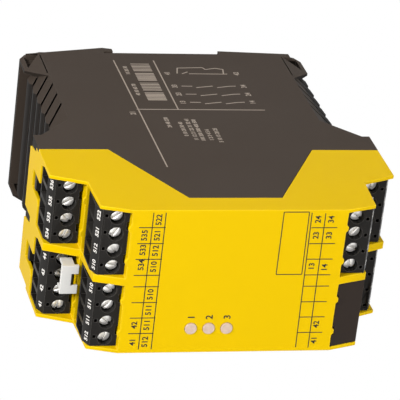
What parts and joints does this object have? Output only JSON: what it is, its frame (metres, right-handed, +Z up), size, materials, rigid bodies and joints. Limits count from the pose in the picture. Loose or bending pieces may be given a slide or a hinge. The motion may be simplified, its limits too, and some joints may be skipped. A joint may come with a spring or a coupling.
{
  "type": "safety relay",
  "caption": "Rail-mounted safety relay: stepped hood with pull-off screw terminals at both ends, indicator lights, louvred base and sprung foot latch.",
  "frame": {"origin": "centre of the face that seats on the mounting rail, mid-width and on the rail's centre line", "axes": "+Y towards the rail and wall, so the front faces -Y; +X across the width; +Z up as mounted on a horizontal rail"},
  "size_m": [0.045, 0.1111, 0.1008],
  "materials": {
    "base_plastic": "fine moulded texture",
    "hood_plastic": "satin moulded, printed",
    "latch_plastic": "moulded",
    "spring_steel": "bare strip",
    "terminal_plastic": "moulded",
    "screw_steel": "nickel plated, slotted",
    "cage_steel": "zinc plated",
    "contact_metal": "tin plated copper alloy",
    "header_plastic": "moulded",
    "cover_plastic": "moulded",
    "clip_plastic": "white moulded",
    "lens_plastic": "clear, milky",
    "circuit_board": "solder mask",
    "relay_case": "moulded",
    "coil_core": "lacquered laminations and winding",
    "capacitor_can": "sleeved can",
    "light_body": "moulded"
  },
  "bodies": {
    "housing": {"base_housing": "base_plastic", "front_housing": "hood_plastic", "latch_spring": "spring_steel", "header_upper_front_right": "header_plastic", "header_pins_upper_front_right": "contact_metal", "header_upper_front_left": "header_plastic", "header_pins_upper_front_left": "contact_metal", "header_upper_rear_right": "header_plastic", "header_pins_upper_rear_right": "contact_metal", "header_upper_rear_left": "header_plastic", "header_pins_upper_rear_left": "contact_metal", "header_lower_front_right": "header_plastic", "header_pins_lower_front_right": "contact_metal", "header_lower_rear_right": "header_plastic", "header_pins_lower_rear_right": "contact_metal", "header_lower_rear_left": "header_plastic", "header_pins_lower_rear_left": "contact_metal", "blank_cover": "cover_plastic", "light_pipes": "lens_plastic", "circuit_board_right": "circuit_board", "circuit_board_left": "circuit_board", "relay_1": "relay_case", "relay_2": "relay_case", "relay_3": "relay_case", "supply_coil": "coil_core", "capacitors": "capacitor_can", "board_link": "header_plastic", "indicator_board": "circuit_board", "indicator_lights": "light_body"},
    "plug_upper_front_right": {"plug_upper_front_right": "terminal_plastic", "clamp_screws_upper_front_right": "screw_steel", "clamp_cages_upper_front_right": "cage_steel", "contacts_upper_front_right": "contact_metal"},
    "plug_upper_front_left": {"plug_upper_front_left": "terminal_plastic", "clamp_screws_upper_front_left": "screw_steel", "clamp_cages_upper_front_left": "cage_steel", "contacts_upper_front_left": "contact_metal"},
    "plug_upper_rear_right": {"plug_upper_rear_right": "terminal_plastic", "clamp_screws_upper_rear_right": "screw_steel", "clamp_cages_upper_rear_right": "cage_steel", "contacts_upper_rear_right": "contact_metal"},
    "plug_upper_rear_left": {"plug_upper_rear_left": "terminal_plastic", "clamp_screws_upper_rear_left": "screw_steel", "clamp_cages_upper_rear_left": "cage_steel", "contacts_upper_rear_left": "contact_metal", "marker_clip": "clip_plastic"},
    "plug_lower_front_right": {"plug_lower_front_right": "terminal_plastic", "clamp_screws_lower_front_right": "screw_steel", "clamp_cages_lower_front_right": "cage_steel", "contacts_lower_front_right": "contact_metal"},
    "plug_lower_rear_right": {"plug_lower_rear_right": "terminal_plastic", "clamp_screws_lower_rear_right": "screw_steel", "clamp_cages_lower_rear_right": "cage_steel", "contacts_lower_rear_right": "contact_metal"},
    "plug_lower_rear_left": {"plug_lower_rear_left": "terminal_plastic", "clamp_screws_lower_rear_left": "screw_steel", "clamp_cages_lower_rear_left": "cage_steel", "contacts_lower_rear_left": "contact_metal"},
    "foot_latch": {"foot_latch": "latch_plastic"}
  },
  "joints": [
    {"name": "plug_upper_front_right_pull", "type": "slide", "parent": "housing", "child": "plug_upper_front_right", "axis": [0, -1, 0], "range_m": [0, 0.025]},
    {"name": "plug_upper_front_left_pull", "type": "slide", "parent": "housing", "child": "plug_upper_front_left", "axis": [0, -1, 0], "range_m": [0, 0.025]},
    {"name": "plug_upper_rear_right_pull", "type": "slide", "parent": "housing", "child": "plug_upper_rear_right", "axis": [0, -1, 0], "range_m": [0, 0.025]},
    {"name": "plug_upper_rear_left_pull", "type": "slide", "parent": "housing", "child": "plug_upper_rear_left", "axis": [0, -1, 0], "range_m": [0, 0.025]},
    {"name": "plug_lower_front_right_pull", "type": "slide", "parent": "housing", "child": "plug_lower_front_right", "axis": [0, -1, 0], "range_m": [0, 0.025]},
    {"name": "plug_lower_rear_right_pull", "type": "slide", "parent": "housing", "child": "plug_lower_rear_right", "axis": [0, -1, 0], "range_m": [0, 0.025]},
    {"name": "plug_lower_rear_left_pull", "type": "slide", "parent": "housing", "child": "plug_lower_rear_left", "axis": [0, -1, 0], "range_m": [0, 0.025]},
    {"name": "foot_latch_slide", "type": "slide", "parent": "housing", "child": "foot_latch", "axis": [0, 0, -1], "range_m": [0, 0.0035], "stiffness_N_per_m": 2000, "springref_m": -0.001, "deforming": ["latch_spring"]}
  ]
}
